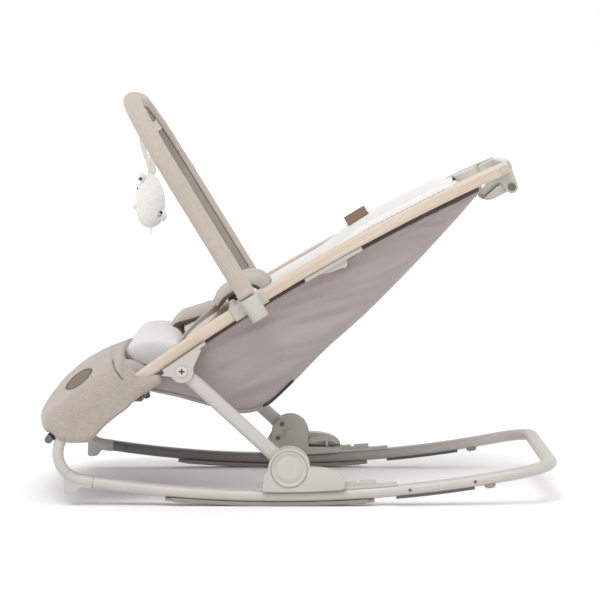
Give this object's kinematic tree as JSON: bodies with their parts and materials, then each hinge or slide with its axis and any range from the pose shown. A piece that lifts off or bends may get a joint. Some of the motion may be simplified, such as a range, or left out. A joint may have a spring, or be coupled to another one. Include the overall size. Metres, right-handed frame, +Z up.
{
  "type": "bouncer seat",
  "caption": "Folding baby bouncer seat: rocker base, sliding carriages, prop legs, bentwood rails with sling and pad, padded toy bar with a hanging toy.",
  "frame": {"origin": "centre of the footprint at the level the rocking pads rest on", "axes": "+X towards the head end, +Z up, -Y the sitter's left side"},
  "size_m": [0.741, 0.438, 0.5763],
  "materials": {
    "frame_tube": "satin powder coat",
    "frame_plastic": "fine matt texture",
    "foot_rubber": "matt",
    "steel": "zinc plated",
    "wood": "clear matt lacquer on beech",
    "cover_cloth": "melange weave",
    "sling_cloth": "plain weave with a light sheen",
    "pad_cloth": "soft jersey",
    "dark_plastic": "fine matt texture",
    "dark_mesh": "open mesh",
    "tag_leather": "smooth",
    "toy_plush": "short plush"
  },
  "bodies": {
    "base": {"rocker_tube": "frame_tube", "front_hoop": "frame_tube", "elbow_left": "frame_plastic", "elbow_right": "frame_plastic", "rock_pad_left": "foot_rubber", "rock_pad_right": "foot_rubber", "rear_strips": "foot_rubber", "stop_feet": "foot_rubber", "track_left": "frame_plastic", "track_right": "frame_plastic", "base_screws": "steel"},
    "seat": {"rail_left": "wood", "rail_right": "wood", "bracket_left": "frame_plastic", "bracket_right": "frame_plastic", "pivot_bolts": "steel", "head_bar": "frame_plastic", "head_bracket_left": "frame_plastic", "head_bracket_right": "frame_plastic", "rail_caps": "frame_plastic", "latch_pins": "dark_plastic", "front_frame": "frame_plastic", "front_cover": "cover_cloth", "oval_patches": "dark_mesh", "sling": "sling_cloth", "side_clips": "frame_plastic", "seat_pad": "pad_cloth", "harness_straps": "cover_cloth", "crotch_pad": "cover_cloth", "buckle": "dark_plastic", "tag": "tag_leather", "bar_clamp_left": "frame_plastic", "bar_clamp_right": "frame_plastic"},
    "leg_left": {"leg_tube_left": "frame_tube", "leg_foot_left": "frame_plastic", "leg_head_left": "frame_plastic"},
    "leg_right": {"leg_tube_right": "frame_tube", "leg_foot_right": "frame_plastic", "leg_head_right": "frame_plastic"},
    "carriage_left": {"housing_left": "frame_plastic", "side_plate_left": "frame_plastic", "cap_left": "frame_plastic", "shaft_left": "steel", "plate_screws_left": "steel", "release_spring_left": "steel"},
    "carriage_right": {"housing_right": "frame_plastic", "side_plate_right": "frame_plastic", "cap_right": "frame_plastic", "shaft_right": "steel", "plate_screws_right": "steel", "release_spring_right": "steel"},
    "lever_left": {"release_left": "frame_plastic"},
    "lever_right": {"release_right": "frame_plastic"},
    "latch": {"latch_bar": "frame_plastic", "latch_grip": "dark_plastic"},
    "bar": {"toy_bar": "cover_cloth"},
    "hanging_toy": {"toy": "toy_plush"},
    "harness_button": {"buckle_button": "frame_plastic"},
    "bar_button_left": {"clamp_button_left": "frame_plastic"},
    "bar_button_right": {"clamp_button_right": "frame_plastic"}
  },
  "joints": [
    {"name": "seat_fold", "type": "hinge", "parent": "base", "child": "seat", "pos_m": [-0.3, 0, 0.1116], "axis": [0, 1, 0], "range_deg": [0, 31]},
    {"name": "leg_left_turn", "type": "hinge", "parent": "seat", "child": "leg_left", "pos_m": [-0.1568, -0.2, 0.189], "axis": [0, 1, 0], "range_deg": [-59.6, 0]},
    {"name": "carriage_left_turn", "type": "hinge", "parent": "leg_left", "child": "carriage_left", "pos_m": [-0.008, -0.2, 0.0529], "axis": [0, 1, 0], "range_deg": [0, 26.4]},
    {"name": "lever_left_press", "type": "hinge", "parent": "carriage_left", "child": "lever_left", "pos_m": [0.0255, -0.1875, 0.043], "axis": [0, 1, 0], "range_deg": [0, 5], "stiffness_Nm_per_rad": 0.4, "springref_deg": -3.44, "deforming": ["release_spring_left"]},
    {"name": "leg_right_turn", "type": "hinge", "parent": "seat", "child": "leg_right", "pos_m": [-0.1568, 0.2, 0.189], "axis": [0, 1, 0], "range_deg": [-59.6, 0]},
    {"name": "carriage_right_turn", "type": "hinge", "parent": "leg_right", "child": "carriage_right", "pos_m": [-0.008, 0.2, 0.0529], "axis": [0, 1, 0], "range_deg": [0, 26.4]},
    {"name": "lever_right_press", "type": "hinge", "parent": "carriage_right", "child": "lever_right", "pos_m": [0.0255, 0.1875, 0.043], "axis": [0, 1, 0], "range_deg": [0, 5], "stiffness_Nm_per_rad": 0.4, "springref_deg": -3.44, "deforming": ["release_spring_right"]},
    {"name": "latch_turn", "type": "hinge", "parent": "seat", "child": "latch", "pos_m": [0.3048, 0, 0.4426], "axis": [0, 1, 0], "range_deg": [-30, 0], "stiffness_Nm_per_rad": 0.8, "springref_deg": 14.32},
    {"name": "bar_pull", "type": "slide", "parent": "seat", "child": "bar", "axis": [-0.5225, 0, 0.8526], "range_m": [0, 0.028]},
    {"name": "toy_swing", "type": "hinge", "parent": "bar", "child": "hanging_toy", "pos_m": [-0.2195, 0, 0.544], "axis": [0, 1, 0], "range_deg": [-30, 30]},
    {"name": "harness_button_press", "type": "slide", "parent": "seat", "child": "harness_button", "axis": [0.3746, 0, -0.9272], "range_m": [0, 0.0015], "stiffness_N_per_m": 900, "springref_m": -0.002},
    {"name": "bar_button_left_press", "type": "slide", "parent": "seat", "child": "bar_button_left", "axis": [0.5284, 0, -0.849], "range_m": [0, 0.0025], "stiffness_N_per_m": 900, "springref_m": -0.002},
    {"name": "bar_button_right_press", "type": "slide", "parent": "seat", "child": "bar_button_right", "axis": [0.5284, 0, -0.849], "range_m": [0, 0.0025], "stiffness_N_per_m": 900, "springref_m": -0.002}
  ],
  "couplings": [
    {"joint": "leg_left_turn", "follows": "seat_fold", "ratio": -1.92},
    {"joint": "carriage_left_turn", "follows": "seat_fold", "ratio": 0.8497},
    {"joint": "leg_right_turn", "follows": "seat_fold", "ratio": -1.92},
    {"joint": "carriage_right_turn", "follows": "seat_fold", "ratio": 0.8497}
  ]
}
